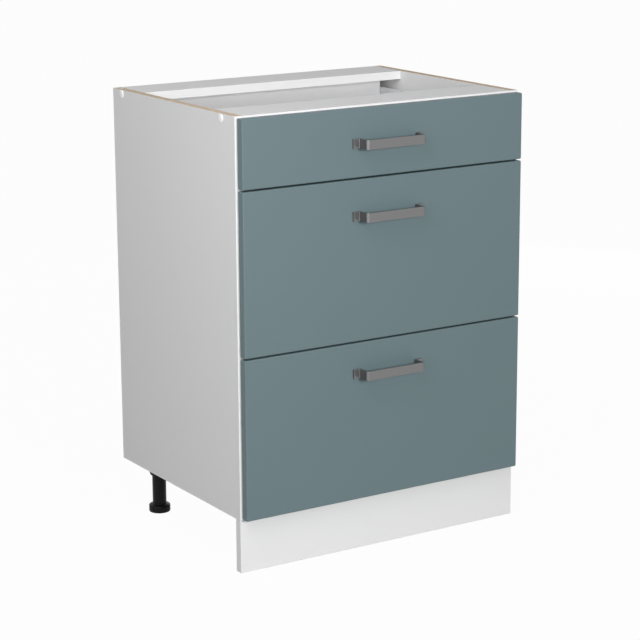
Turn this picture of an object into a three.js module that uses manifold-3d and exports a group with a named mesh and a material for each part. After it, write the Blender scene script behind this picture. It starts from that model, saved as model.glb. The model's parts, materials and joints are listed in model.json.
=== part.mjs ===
// A base cabinet with three drawers, standing on adjustable feet behind a plinth board.
//
// Millimetres. +X is to the right for someone facing the fronts, +Y runs to the wall and +Z is up.
// Every piece is first placed from the middle of the carcass's front edge at floor level. The
// outermost group then moves the whole unit, so that the origin is the middle of its footprint.

import * as THREE from "three";
import { mergeVertices } from "three/addons/utils/BufferGeometryUtils.js";
import Module from "manifold-3d";

const wasm = await Module();
wasm.setup();

// ---------------------------------------------------------------- driving dimensions

// Between pieces that touch.
const seatGap = 0.3;

// Carcass.
const unitWidth = 600;
const carcassDepth = 450;
const standHeight = 98;
const carcassBoard = 16;
const railDepth = 95;
const backThickness = 3;
const backInset = 13;
const grooveDepth = 8;
const grooveClearance = 0.6;

// Cover caps over the rail screws.
const capRadius = 8;
const capHeight = 2.4;
const capRim = 0.7;
const pegRadius = 4.7;
const pegLength = 6;
const capFrontInset = 46;
const capRearInset = 35;

// Feet.
const legRadius = 13.25;
const legTopGap = 3;
const legBaseRadius = 20.5;
const legBaseHeight = 15.5;
const legBaseChamfer = 2.5;
const socketWall = 3.4;
const socketLength = 24;
const socketPlateRadius = 29;
const socketPlateThickness = 4;
const footSideInset = 43;
const footRearInset = 64;
const footFrontClearance = 2;

// Plinth board and the clips that hold it to the front legs.
const plinthBoard = 16;
const plinthTopGap = 0.6;
const clipPlateWidth = 46;
const clipPlateHeight = 32;
const clipPlateThickness = 3;
const clipForkHeight = 12;
const clipArm = 3.2;
const clipReach = 3;

// Drawer fronts, from the top one down.
const frontHeights = [122, 293, 293];
const frontThickness = 16;
const frontReveal = 3;
const frontStandOff = 3;
const frontEdgeRadius = 2;
const frontCornerRadius = 2.5;

// Handles, each bent from one flat strip. The drops are from a front's top edge to the strip's middle.
const handleDrops = [61, 65, 56];
const handleLength = 149;
const handleFoot = 12;
const handleProjection = 29;
const handleStrip = 4;
const handleWidth = 17;
const handleBendRadius = 2.8;

// Steel drawer sides, with how far each one's lower edge lies above its front's lower edge.
const drawerSideHeights = [86, 150, 150];
const drawerSideRises = [3.5, 17, 17];
const sheet = 1.5;
const runnerSpace = 12.5;
const rimReach = 9.5;
const rimLip = 8;
const bottomFlange = 16;
const glideReach = 9;
const lugReach = 14;
const lugRise = 22;
const lugTopGap = 10;
const spaceBehindDrawer = 10;

// Drawer boards.
const drawerBoard = 16;
const drawerBackRise = 12.5;

// Runners on the carcass and the rollers that carry the drawers.
const runnerRise = 20;
const channelReach = 11;
const channelFrontGap = 3.5;
const runnerFrontInset = 3;
const runnerRearGap = 14;
const rollerRadius = 10.5;
const rollerWidth = 6;
const rollerHeadroom = 1;
const glideClearance = 0.7;
const pinRadius = 3;
const pinClearance = 0.25;
const pinHeadRadius = 5;
const pinHeadThickness = 0.8;
const pinSideGap = 0.4;
const frontRollerInset = 22;
const rearRollerInset = 15;

// Sides of the round pieces.
const roundSides = 24;
const smallRoundSides = 16;

// ---------------------------------------------------------------- worked-out places

const carcassHeight = frontHeights.reduce((sum, height) => sum + height + frontReveal, frontReveal);
const carcassTop = standHeight + carcassHeight;
const innerWidth = unitWidth - 2 * carcassBoard;
const innerFaceX = innerWidth / 2;
const backFrontY = carcassDepth - backInset - backThickness;
const frontBackY = -frontStandOff;
const frontFaceY = frontBackY - frontThickness;
const handleFaceY = frontFaceY - seatGap - handleProjection;

const drawerFrontY = frontBackY + seatGap;
const drawerRearY = backFrontY - spaceBehindDrawer;
const drawerInnerX = innerFaceX - runnerSpace - sheet;

const footX = unitWidth / 2 - footSideInset;
const frontFootY = plinthBoard + footFrontClearance + socketPlateRadius;
const rearFootY = carcassDepth - footRearInset;
const clipMiddleZ = (legBaseHeight + standHeight - socketLength) / 2;

const channelInner = 2 * rollerRadius + seatGap + rollerHeadroom;
const channelTop = runnerRise + sheet + channelInner + sheet;
const glideZ = channelTop + glideClearance;
const frontRollerZ = glideZ - seatGap - rollerRadius;
const rearRollerZ = runnerRise + sheet + seatGap + rollerRadius;
const rollerNearS = seatGap + sheet + pinSideGap + pinHeadThickness + pinSideGap;
const rollerFarS = rollerNearS + rollerWidth;

// ---------------------------------------------------------------- finishes

const finishes = {
  whiteBoard: { color: 0xe6e7e8, roughness: 0.45, metalness: 0 },
  frontFoil: { color: 0x6f8487, roughness: 0.6, metalness: 0 },
  brushedMetal: { color: 0x8b8683, roughness: 0.38, metalness: 0.9 },
  blackPlastic: { color: 0x161616, roughness: 0.55, metalness: 0 },
  whitePlastic: { color: 0xeeeeee, roughness: 0.4, metalness: 0 },
  coatedSteel: { color: 0xc9ccce, roughness: 0.4, metalness: 0.3 },
};

// ---------------------------------------------------------------- geometry helpers

// The three directions that a flat outline can be extruded along. Each entry says where the
// outline's two coordinates and the extrusion point.
const extrudeFrames = {
  x: [new THREE.Vector3(0, 1, 0), new THREE.Vector3(0, 0, 1), new THREE.Vector3(1, 0, 0)],
  y: [new THREE.Vector3(1, 0, 0), new THREE.Vector3(0, 0, 1), new THREE.Vector3(0, -1, 0)],
  z: [new THREE.Vector3(1, 0, 0), new THREE.Vector3(0, 1, 0), new THREE.Vector3(0, 0, 1)],
};

// A prism over the outline, from low to high along the axis.
function prism(outline, axis, low, high) {
  const shape = new THREE.Shape(outline.map(([u, v]) => new THREE.Vector2(u, v)));
  const geometry = new THREE.ExtrudeGeometry(shape, { depth: high - low, bevelEnabled: false });
  geometry.applyMatrix4(new THREE.Matrix4().makeBasis(...extrudeFrames[axis]));
  const start = axis === "y" ? high : low;
  return geometry.translate(...{ x: [start, 0, 0], y: [0, start, 0], z: [0, 0, start] }[axis]);
}

// A box between two corners.
function block(low, high) {
  const size = high.map((value, i) => value - low[i]);
  const middle = high.map((value, i) => (value + low[i]) / 2);
  return new THREE.BoxGeometry(...size).translate(...middle);
}

// A profile of [radius, height] points turned about the Z axis.
function turned(profile, sides) {
  const points = profile.map(([radius, height]) => new THREE.Vector2(radius, height));
  return new THREE.LatheGeometry(points, sides).rotateX(Math.PI / 2);
}

// A disc or pin along X, between two places on it, about (y, z).
function pinAlongX(radius, fromX, toX, y, z, sides) {
  const pin = new THREE.CylinderGeometry(radius, radius, Math.abs(toX - fromX), sides);
  return pin.rotateZ(Math.PI / 2).translate((fromX + toX) / 2, y, z);
}

function toSolid(geometry) {
  const bare = new THREE.BufferGeometry();
  bare.setAttribute("position", geometry.getAttribute("position"));
  bare.setIndex(geometry.index);
  const merged = mergeVertices(bare, 1e-4);
  const mesh = new wasm.Mesh({
    numProp: 3,
    vertProperties: merged.attributes.position.array,
    triVerts: new Uint32Array(merged.index.array),
  });
  return new wasm.Manifold(mesh);
}

function toGeometry(solid) {
  const mesh = solid.getMesh();
  const geometry = new THREE.BufferGeometry();
  geometry.setAttribute("position", new THREE.BufferAttribute(mesh.vertProperties, 3));
  geometry.setIndex(new THREE.BufferAttribute(mesh.triVerts, 1));
  const flat = geometry.toNonIndexed();
  flat.computeVertexNormals();
  return flat;
}

function joined(...geometries) {
  const solids = geometries.map(toSolid);
  return toGeometry(solids.reduce((sum, solid) => sum.add(solid)));
}

function cut(geometry, ...tools) {
  return toGeometry(tools.map(toSolid).reduce((rest, tool) => rest.subtract(tool), toSolid(geometry)));
}

// The outline of a rectangle with round corners, centred on the origin.
function roundedRectangle(width, height, radius, steps) {
  const outline = [];
  for (let corner = 0; corner < 4; corner += 1) {
    const signX = corner === 0 || corner === 3 ? 1 : -1;
    const signY = corner < 2 ? 1 : -1;
    for (let step = 0; step <= steps; step += 1) {
      const angle = (corner + step / steps) * (Math.PI / 2);
      const x = signX * (width / 2 - radius) + radius * Math.cos(angle);
      const y = signY * (height / 2 - radius) + radius * Math.sin(angle);
      outline.push([x, y]);
    }
  }
  return outline;
}

// A closed skin over rings of points that all have the same number of points, with flat ends.
function skinned(rings) {
  const count = rings[0].length;
  const positions = rings.flat(2);
  const index = [];
  for (let ring = 0; ring + 1 < rings.length; ring += 1) {
    for (let i = 0; i < count; i += 1) {
      const a = ring * count + i;
      const b = ring * count + ((i + 1) % count);
      index.push(a, b, b + count);
      index.push(a, b + count, a + count);
    }
  }
  const last = (rings.length - 1) * count;
  for (let i = 1; i + 1 < count; i += 1) {
    index.push(0, i + 1, i);
    index.push(last, last + i, last + i + 1);
  }
  const geometry = new THREE.BufferGeometry();
  geometry.setAttribute("position", new THREE.Float32BufferAttribute(positions, 3));
  geometry.setIndex(index);
  geometry.computeVertexNormals();
  return geometry;
}

// A flat strip bent along a path in the XY plane, with the same radius at each bend.
function bentStripOutline(path, thickness, radius, steps) {
  const points = path.map(([x, y]) => new THREE.Vector2(x, y));
  const stations = [];
  points.forEach((point, i) => {
    const before = i > 0 ? point.clone().sub(points[i - 1]).normalize() : null;
    const after = i + 1 < points.length ? points[i + 1].clone().sub(point).normalize() : null;
    if (!before || !after) {
      const along = before ?? after;
      stations.push([point, new THREE.Vector2(-along.y, along.x)]);
      return;
    }
    const turn = Math.atan2(before.cross(after), before.dot(after));
    const setBack = radius * Math.tan(Math.abs(turn) / 2);
    const start = point.clone().addScaledVector(before, -setBack);
    const normal = new THREE.Vector2(-before.y, before.x);
    const centre = start.clone().addScaledVector(normal, radius * Math.sign(turn));
    for (let step = 0; step <= steps; step += 1) {
      const turned = normal.clone().rotateAround(new THREE.Vector2(), (turn * step) / steps);
      stations.push([centre.clone().addScaledVector(turned, -radius * Math.sign(turn)), turned]);
    }
  });
  const side = (sign) =>
    stations.map(([point, normal]) => point.clone().addScaledVector(normal, (sign * thickness) / 2).toArray());
  return [...side(-1), ...side(1).reverse()];
}

// ---------------------------------------------------------------- pieces

function part(name, geometry, finish, x = 0, y = 0, z = 0) {
  const mesh = new THREE.Mesh(geometry, new THREE.MeshStandardMaterial(finishes[finish]));
  mesh.name = name;
  mesh.position.set(x, y, z);
  return mesh;
}

const sides = [
  { name: "left", sign: -1 },
  { name: "right", sign: 1 },
];

// Where something lies in X, from its distance inward from a side panel's inner face.
function inwardX(sign, distance) {
  return sign * (innerFaceX - distance);
}

const capPlaces = [
  { name: "front", y: capFrontInset },
  { name: "rear", y: carcassDepth - capRearInset },
];
const capZ = carcassTop - carcassBoard / 2;

// A side panel with a groove for the back panel and two blind holes for the caps' pegs.
function sidePanel({ name, sign }) {
  const grooveBottomX = innerFaceX + grooveDepth;
  const grooveFrontY = backFrontY - grooveClearance / 2;
  const grooveRearY = grooveFrontY + backThickness + grooveClearance;
  const outline = [
    [innerFaceX, 0],
    [unitWidth / 2, 0],
    [unitWidth / 2, carcassDepth],
    [innerFaceX, carcassDepth],
    [innerFaceX, grooveRearY],
    [grooveBottomX, grooveRearY],
    [grooveBottomX, grooveFrontY],
    [innerFaceX, grooveFrontY],
  ].map(([x, y]) => [sign * x, y]);
  const panel = prism(outline, "z", standHeight, carcassTop);
  const outerX = (sign * unitWidth) / 2;
  const holeEndX = outerX - sign * (pegLength + seatGap);
  const holes = capPlaces.map(({ y }) =>
    pinAlongX(pegRadius + seatGap, outerX + sign, holeEndX, y, capZ, smallRoundSides),
  );
  return part(`side_panel_${name}`, cut(panel, ...holes), "whiteBoard");
}

// A domed cap on the outside of a side panel, with a peg into its hole.
function coverCap({ name, sign }, place) {
  const profile = [
    [0, -pegLength],
    [pegRadius, -pegLength],
    [pegRadius, seatGap],
    [capRadius, seatGap],
    [capRadius, seatGap + capRim],
    [capRadius * 0.75, seatGap + capRim + (capHeight - capRim) * 0.7],
    [0, seatGap + capHeight],
  ];
  const cap = part(`cover_cap_${name}_${place.name}`, turned(profile, smallRoundSides), "whitePlastic");
  cap.rotation.y = (sign * Math.PI) / 2;
  cap.position.set((sign * unitWidth) / 2, place.y, capZ);
  return cap;
}

function carcassPanels() {
  const boardWidth = innerWidth - 2 * seatGap;
  const rail = new THREE.BoxGeometry(boardWidth, railDepth, carcassBoard);
  const railZ = carcassTop - carcassBoard / 2;
  const bottomDepth = backFrontY - seatGap;
  const bottom = new THREE.BoxGeometry(boardWidth, bottomDepth, carcassBoard);
  const backWidth = innerWidth + 2 * (grooveDepth - seatGap);
  const backLow = standHeight + seatGap;
  const backHigh = carcassTop - carcassBoard - seatGap;
  const back = new THREE.BoxGeometry(backWidth, backThickness, backHigh - backLow);
  return [
    part("bottom_panel", bottom, "whiteBoard", 0, bottomDepth / 2, standHeight + carcassBoard / 2),
    part("top_rail_front", rail, "whiteBoard", 0, railDepth / 2, railZ),
    part("top_rail_rear", rail.clone(), "whiteBoard", 0, carcassDepth - railDepth / 2, railZ),
    part("back_panel", back, "whiteBoard", 0, backFrontY + backThickness / 2, (backLow + backHigh) / 2),
  ];
}

// The socket under the carcass: a round plate with a collar that the leg slides in.
function footSocket(name, x, y) {
  const bore = legRadius + seatGap;
  const collar = bore + socketWall;
  const profile = [
    [bore, -socketLength],
    [collar, -socketLength],
    [collar, -socketPlateThickness],
    [socketPlateRadius, -socketPlateThickness],
    [socketPlateRadius, -seatGap],
    [bore, -seatGap],
    [bore, -socketLength],
  ];
  return part(`foot_socket_${name}`, turned(profile, roundSides), "blackPlastic", x, y, standHeight);
}

// The leg: a round column on a wider base that stands on the floor.
function footLeg(name, x, y) {
  const profile = [
    [0, 0],
    [legBaseRadius - legBaseChamfer, 0],
    [legBaseRadius, legBaseChamfer],
    [legBaseRadius, legBaseHeight - legBaseChamfer],
    [legBaseRadius - legBaseChamfer, legBaseHeight],
    [legRadius, legBaseHeight],
    [legRadius, standHeight - legTopGap],
    [0, standHeight - legTopGap],
  ];
  return part(`foot_leg_${name}`, turned(profile, roundSides), "blackPlastic", x, y, 0);
}

function feet() {
  const rows = [
    { name: "front", y: frontFootY },
    { name: "rear", y: rearFootY },
  ];
  return rows.flatMap((row) =>
    sides.flatMap(({ name, sign }) => [
      footSocket(`${row.name}_${name}`, sign * footX, row.y),
      footLeg(`${row.name}_${name}`, sign * footX, row.y),
    ]),
  );
}

function plinth() {
  const height = standHeight - plinthTopGap;
  const board = new THREE.BoxGeometry(unitWidth, plinthBoard, height);
  return part("plinth_board", board, "whiteBoard", 0, plinthBoard / 2, height / 2);
}

// A clip behind the plinth board: a plate on the board and a fork that grips a front leg.
function plinthClip({ name, sign }) {
  const x = sign * footX;
  const backY = plinthBoard + seatGap;
  const plateY = backY + clipPlateThickness;
  const notch = legRadius + seatGap;
  const arm = notch + clipArm;
  const outline = [
    [x - arm, plateY - clipPlateThickness / 2],
    [x + arm, plateY - clipPlateThickness / 2],
    [x + arm, frontFootY + clipReach],
    [x + notch, frontFootY + clipReach],
  ];
  const steps = roundSides / 2;
  for (let step = 0; step <= steps; step += 1) {
    const angle = -(Math.PI * step) / steps;
    outline.push([x + notch * Math.cos(angle), frontFootY + notch * Math.sin(angle)]);
  }
  outline.push([x - notch, frontFootY + clipReach]);
  outline.push([x - arm, frontFootY + clipReach]);
  const fork = prism(outline, "z", clipMiddleZ - clipForkHeight / 2, clipMiddleZ + clipForkHeight / 2);
  const plate = new THREE.BoxGeometry(clipPlateWidth, clipPlateThickness, clipPlateHeight);
  plate.translate(x, backY + clipPlateThickness / 2, clipMiddleZ);
  return part(`plinth_clip_${name}`, joined(plate, fork), "blackPlastic");
}

// A runner on a side panel: a channel open towards the drawer, with a pin for the front roller on
// the web that runs on in front of it. Heights are from the drawer side's lower edge.
function cabinetRunner(drawer, { name, sign }) {
  const webFar = seatGap + sheet;
  const flangeFar = channelReach;
  const section = [
    [seatGap, runnerRise],
    [flangeFar, runnerRise],
    [flangeFar, runnerRise + sheet],
    [webFar, runnerRise + sheet],
    [webFar, channelTop - sheet],
    [flangeFar, channelTop - sheet],
    [flangeFar, channelTop],
    [seatGap, channelTop],
  ].map(([s, z]) => [inwardX(sign, s), z]);
  const rearY = backFrontY - runnerRearGap;
  const channelFrontY = frontRollerInset + rollerRadius + channelFrontGap;
  const channel = prism(section, "y", channelFrontY, rearY);
  const webXs = [inwardX(sign, seatGap), inwardX(sign, webFar)].sort((a, b) => a - b);
  const web = block([webXs[0], runnerFrontInset, runnerRise], [webXs[1], channelFrontY + sheet, channelTop]);
  const headNearS = rollerFarS + pinSideGap;
  const pin = rollerPin(sign, seatGap + sheet / 2, headNearS, frontRollerInset, frontRollerZ);
  const solid = joined(channel, web, ...pin);
  return part(`cabinet_runner_${drawer}_${name}`, solid, "coatedSteel");
}

// A pin that starts inside the sheet that carries it and ends in a head beyond the roller.
function rollerPin(sign, rootS, headS, y, z) {
  const headEndS = headS + Math.sign(headS - rootS) * pinHeadThickness;
  const headMiddleS = (headS + headEndS) / 2;
  return [
    pinAlongX(pinRadius, inwardX(sign, rootS), inwardX(sign, headMiddleS), y, z, smallRoundSides),
    pinAlongX(pinHeadRadius, inwardX(sign, headS), inwardX(sign, headEndS), y, z, smallRoundSides),
  ];
}

// A roller: a ring with a running clearance round its pin.
function roller(name, sign, y, z) {
  const bore = pinRadius + pinClearance;
  const half = rollerWidth / 2;
  const profile = [
    [bore, -half],
    [rollerRadius, -half],
    [rollerRadius, half],
    [bore, half],
    [bore, -half],
  ];
  const ring = part(name, turned(profile, roundSides), "whitePlastic");
  ring.rotation.y = Math.PI / 2;
  ring.position.set(inwardX(sign, rollerNearS + half), y, z);
  return ring;
}

// A drawer side of folded sheet: a wall with a rolled rim, a flange under the drawer bottom, the
// glide flange that runs on the front roller, lugs for the front and the back, and a roller pin.
function drawerSide(drawer, height, { name, sign }) {
  const outer = runnerSpace;
  const inner = runnerSpace + sheet;
  const rim = outer - rimReach;
  const section = [
    [outer, 0],
    [inner + bottomFlange, 0],
    [inner + bottomFlange, sheet],
    [inner, sheet],
    [inner, height],
    [rim, height],
    [rim, height - rimLip],
    [rim + sheet, height - rimLip],
    [rim + sheet, height - sheet],
    [outer, height - sheet],
    [outer, glideZ + sheet],
    [outer - glideReach, glideZ + sheet],
    [outer - glideReach, glideZ],
    [outer, glideZ],
  ].map(([s, z]) => [inwardX(sign, s), z]);
  const profile = prism(section, "y", drawerFrontY, drawerRearY);
  const lugXs = [inwardX(sign, outer), inwardX(sign, inner + lugReach)].sort((a, b) => a - b);
  const lugs = [drawerFrontY, drawerRearY - sheet].map((y) =>
    block([lugXs[0], y, lugRise], [lugXs[1], y + sheet, height - lugTopGap]),
  );
  const rollerY = drawerRearY - rearRollerInset;
  const headNearS = rollerNearS - pinSideGap;
  const pin = rollerPin(sign, outer + sheet / 2, headNearS, rollerY, rearRollerZ);
  const solid = joined(profile, ...lugs, ...pin);
  return part(`drawer_side_${drawer}_${name}`, solid, "coatedSteel");
}

function drawerBottom(drawer) {
  const width = 2 * (drawerInnerX - seatGap);
  const length = drawerRearY - drawerFrontY;
  const board = new THREE.BoxGeometry(width, length, drawerBoard);
  const z = sheet + seatGap + drawerBoard / 2;
  return part(`drawer_bottom_${drawer}`, board, "whiteBoard", 0, (drawerRearY + drawerFrontY) / 2, z);
}

function drawerBack(drawer, sideHeight) {
  const low = sheet + seatGap + drawerBoard + seatGap;
  const height = sideHeight + drawerBackRise - low;
  const board = new THREE.BoxGeometry(2 * (drawerInnerX - seatGap), drawerBoard, height);
  const y = drawerRearY - sheet - seatGap - drawerBoard / 2;
  return part(`drawer_back_${drawer}`, board, "whiteBoard", 0, y, low + height / 2);
}

// A drawer front with round corners and a rounded edge all round its face.
function drawerFront(drawer, height, centreZ) {
  const width = unitWidth - 2 * frontReveal;
  const edgeSteps = 3;
  const cornerSteps = 3;
  const ringAt = (inset, y) =>
    roundedRectangle(width - 2 * inset, height - 2 * inset, frontCornerRadius - inset, cornerSteps).map(
      ([x, z]) => [x, y, z],
    );
  const rings = [ringAt(0, 0)];
  for (let step = 0; step <= edgeSteps; step += 1) {
    const angle = (Math.PI / 2) * (step / edgeSteps);
    const inset = frontEdgeRadius * (1 - Math.cos(angle));
    const y = -frontThickness + frontEdgeRadius * (1 - Math.sin(angle));
    rings.push(ringAt(inset, y));
  }
  return part(`drawer_front_${drawer}`, skinned(rings), "frontFoil", 0, frontBackY, centreZ);
}

// A bow handle: two feet on the front, two stems and the grip, bent from one strip.
function handle(drawer, z) {
  const half = handleLength / 2;
  const footMiddle = -handleStrip / 2;
  const gripMiddle = -handleProjection + handleStrip / 2;
  const stemX = half - handleFoot - handleStrip / 2;
  const path = [
    [-half, footMiddle],
    [-stemX, footMiddle],
    [-stemX, gripMiddle],
    [stemX, gripMiddle],
    [stemX, footMiddle],
    [half, footMiddle],
  ];
  const outline = bentStripOutline(path, handleStrip, handleBendRadius, 3);
  const strip = prism(outline, "z", -handleWidth / 2, handleWidth / 2);
  return part(`handle_${drawer}`, strip, "brushedMetal", 0, frontFaceY - seatGap, z);
}

// A drawer with its runners. Its group stands at the lower edge of the drawer sides.
function drawerWithRunners(i, frontLowZ) {
  const drawer = i + 1;
  const group = new THREE.Group();
  const rise = drawerSideRises[i];
  const sideHeight = drawerSideHeights[i];
  const frontHeight = frontHeights[i];
  group.position.z = frontLowZ + rise;
  group.add(drawerFront(drawer, frontHeight, frontHeight / 2 - rise));
  group.add(handle(drawer, frontHeight - handleDrops[i] - rise));
  group.add(drawerBottom(drawer));
  group.add(drawerBack(drawer, sideHeight));
  for (const side of sides) {
    const { name, sign } = side;
    const rearRollerY = drawerRearY - rearRollerInset;
    group.add(drawerSide(drawer, sideHeight, side));
    group.add(cabinetRunner(drawer, side));
    group.add(roller(`front_roller_${drawer}_${name}`, sign, frontRollerInset, frontRollerZ));
    group.add(roller(`rear_roller_${drawer}_${name}`, sign, rearRollerY, rearRollerZ));
  }
  return group;
}

function drawers() {
  const groups = [];
  let topZ = carcassTop - frontReveal;
  frontHeights.forEach((height, i) => {
    const lowZ = topZ - height;
    groups.push(drawerWithRunners(i, lowZ));
    topZ = lowZ - frontReveal;
  });
  return groups;
}

// ---------------------------------------------------------------- the whole unit

const unit = new THREE.Group();
unit.position.y = -(handleFaceY + carcassDepth) / 2;

unit.add(...sides.map(sidePanel));
unit.add(...carcassPanels());
unit.add(...sides.flatMap((side) => capPlaces.map((place) => coverCap(side, place))));
unit.add(...feet());
unit.add(plinth());
unit.add(...sides.map(plinthClip));
unit.add(...drawers());

export default unit;
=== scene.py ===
# %% [markdown]
# # A base cabinet with three drawers
#
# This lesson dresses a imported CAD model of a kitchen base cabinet. The CAD nodes are a fixed frame:
# they say where every piece is and how it moves. Each piece is modelled again here with the finish
# and the small shapes that a maker would see, and it then stands for its CAD node.

# %% Load the fixed frame
import json
import math

import bpy
from mathutils import Matrix, Vector


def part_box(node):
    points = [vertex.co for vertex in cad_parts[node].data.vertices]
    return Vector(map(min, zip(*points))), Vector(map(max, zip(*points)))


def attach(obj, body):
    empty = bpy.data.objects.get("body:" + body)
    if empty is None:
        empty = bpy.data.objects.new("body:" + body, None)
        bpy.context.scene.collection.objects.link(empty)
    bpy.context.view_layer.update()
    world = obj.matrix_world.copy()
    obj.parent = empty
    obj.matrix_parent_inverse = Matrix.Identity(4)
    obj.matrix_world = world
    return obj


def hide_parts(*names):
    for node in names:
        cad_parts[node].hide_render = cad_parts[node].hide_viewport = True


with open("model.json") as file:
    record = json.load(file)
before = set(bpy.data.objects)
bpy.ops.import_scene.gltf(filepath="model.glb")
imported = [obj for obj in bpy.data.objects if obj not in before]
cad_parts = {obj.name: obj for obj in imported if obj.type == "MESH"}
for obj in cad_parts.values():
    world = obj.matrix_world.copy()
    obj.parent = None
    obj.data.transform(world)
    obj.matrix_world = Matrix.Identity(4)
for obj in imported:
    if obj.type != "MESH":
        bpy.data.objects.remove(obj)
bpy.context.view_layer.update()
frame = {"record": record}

# %% [markdown]
# ## Units and sides
#
# Blender works in metres and a cabinet maker works in millimetres, so sizes below are written as a
# number of MM. The unit is the same on both sides of its middle plane. Left pieces lie at negative X,
# and a sign tells the two sides apart.

# %% Units and sides
MM = 0.001
SIDES = {"left": -1, "right": 1}
DRAWERS = (1, 2, 3)
bodies = frame["record"]["behaviour"]["bodies"]
BODY_OF = {node: body for body, nodes in bodies.items() for node in nodes}

# %% [markdown]
# ## The camera
#
# The photograph was taken with a long lens from the front left, a little above the worktop height.
# The camera's place and lens come from fitting the cabinet's corners to the picture. Its three turns
# are easiest to follow as matrices: first a very slight roll, then a tilt down, then a turn to the
# right. Multiplying them from right to left gives one rotation.

# %% Add the camera
yaw = Matrix.Rotation(math.radians(-32.29), 3, "Z")
tilt = Matrix.Rotation(math.radians(90 - 13.73), 3, "X")
roll = Matrix.Rotation(math.radians(-0.31), 3, "Z")
bpy.ops.object.select_all(action="DESELECT")
bpy.ops.object.camera_add(location=(-2.089, -3.29885, 1.337), rotation=(yaw @ tilt @ roll).to_euler())
camera = bpy.context.object
camera.data.sensor_width = 36
camera.data.lens = 119.77
bpy.context.scene.camera = camera
bpy.context.scene.view_settings.view_transform = "Standard"
print("camera at", tuple(round(v, 3) for v in camera.location))

# %% [markdown]
# ## Shader arithmetic
#
# A procedural material is a small sum of patterns. Writing that sum as Python is easier to read than
# a long list of nodes, so one class wraps a socket that holds a number. Adding or multiplying such
# numbers adds the Math node that does it. The reflected methods make 0.4 + pearl work as well.

# %% Numbers that vary over a surface


def connect(place, value):
    """Links a socket to a value that varies, or writes a plain value on it."""
    if isinstance(value, Number):
        value = value.socket
    if isinstance(value, bpy.types.NodeSocket):
        place.id_data.links.new(value, place)
    else:
        place.default_value = value


class Number:
    """A number that varies over the surface."""

    def __init__(self, socket):
        self.socket = socket

    def worked(self, operation, first, second):
        node = self.socket.id_data.nodes.new("ShaderNodeMath")
        node.operation = operation
        connect(node.inputs[0], first)
        connect(node.inputs[1], second)
        return Number(node.outputs[0])

    def __add__(self, other):
        return self.worked("ADD", self, other)

    def __mul__(self, other):
        return self.worked("MULTIPLY", self, other)

    __radd__ = __add__
    __rmul__ = __mul__


# %% [markdown]
# ## Finishes
#
# Every finish is a Principled shader fed by a few patterns on Object coordinates. The pieces keep
# their place in their mesh, so these coordinates are metres in the cabinet, and a pattern scale of
# 1000 repeats about every millimetre. The world has nodes too, so a small class holds the nodes of
# either. Its one method adds any node: the settings go in first, and then the values or links of the
# sockets. A finish adds the patterns.

# %% Classes for nodes and finishes


class Tree:
    """The nodes of a material or of the world."""

    def __init__(self, owner):
        owner.use_nodes = True
        self.tree = owner.node_tree
        self.tree.nodes.clear()

    def node(self, kind, settings=None, inputs=None):
        node = self.tree.nodes.new("ShaderNode" + kind)
        for name, value in (settings or {}).items():
            if name == "stops":
                ramp = node.color_ramp
                ramp.elements.remove(ramp.elements[1])
                for i, (place, colour) in enumerate(value):
                    stop = ramp.elements[0] if i == 0 else ramp.elements.new(place)
                    stop.position = place
                    stop.color = colour
            else:
                setattr(node, name, value)
        for name, value in (inputs or {}).items():
            connect(node.inputs[name], value)
        return node


class Finish(Tree):
    """A material under construction: one Principled shader and the patterns that feed it."""

    def __init__(self, name, **uniform):
        self.material = bpy.data.materials.new(name)
        super().__init__(self.material)
        names = {key.replace("_", " ").title(): value for key, value in uniform.items()}
        names = {key.replace("Ior", "IOR"): value for key, value in names.items()}
        self.shader = self.node("BsdfPrincipled", inputs=names)
        self.output = self.node("OutputMaterial", inputs={"Surface": self.shader.outputs[0]})
        self.place = self.node("TexCoord").outputs["Object"]

    def stretched(self, stretch):
        return self.node("Mapping", inputs={"Vector": self.place, "Scale": stretch}).outputs[0]

    def noise(self, scale, detail=2.0, roughness=0.5, stretch=(1, 1, 1)):
        values = {"Scale": scale, "Detail": detail, "Roughness": roughness}
        values["Vector"] = self.stretched(stretch)
        return Number(self.node("TexNoise", inputs=values).outputs[0])

    def ramp(self, number, *stops):
        settings = {"stops": [(place, (*colour, 1)) for place, colour in stops]}
        return self.node("ValToRGB", settings, {"Fac": number}).outputs["Color"]

    def mixed(self, mask, first, second):
        values = {0: mask, 6: (*first, 1), 7: (*second, 1)}
        return self.node("Mix", {"data_type": "RGBA"}, values).outputs[2]

    def bump(self, height, strength, depth):
        values = {"Height": height, "Strength": strength, "Distance": depth}
        return self.node("Bump", inputs=values).outputs[0]

    def feed(self, **inputs):
        for name, value in inputs.items():
            connect(self.shader.inputs[name.replace("_", " ").title()], value)
        return self.material


# %% [markdown]
# ### White melamine board
#
# The carcass is chipboard faced with white melamine paper. Up close it has a fine pearl texture that
# catches the light and hides finger marks; from a few steps away it is an even, slightly cool white.
# A fine noise drives the bump and the roughness. Together with a broad one it moves the white by up
# to two and a half per cent, as a printed paper does.

# %% White melamine


def shaded(colour, share):
    """The colour times the share, for the darker or lighter tone of a finish."""
    return tuple(share * v for v in colour)


def melamine(name, white, texture=0.12):
    finish = Finish(name, specular_ior_level=0.4)
    pearl = finish.noise(1400, detail=3)
    cloud = finish.noise(6, detail=1)
    tint = finish.mixed(cloud * 0.6 + pearl * 0.4, shaded(white, 0.975), white)
    relief = finish.bump(pearl, texture, 0.0002)
    return finish.feed(base_color=tint, roughness=0.4 + pearl * 0.16, normal=relief)


carcass_white = melamine("carcass_white_melamine", (0.80, 0.80, 0.805))
plinth_white = melamine("plinth_white_melamine", (0.79, 0.79, 0.79))
drawer_white = melamine("drawer_white_melamine", (0.80, 0.80, 0.805), texture=0.08)
edge_white = melamine("edge_band_white", (0.83, 0.83, 0.835), texture=0.03)

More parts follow.
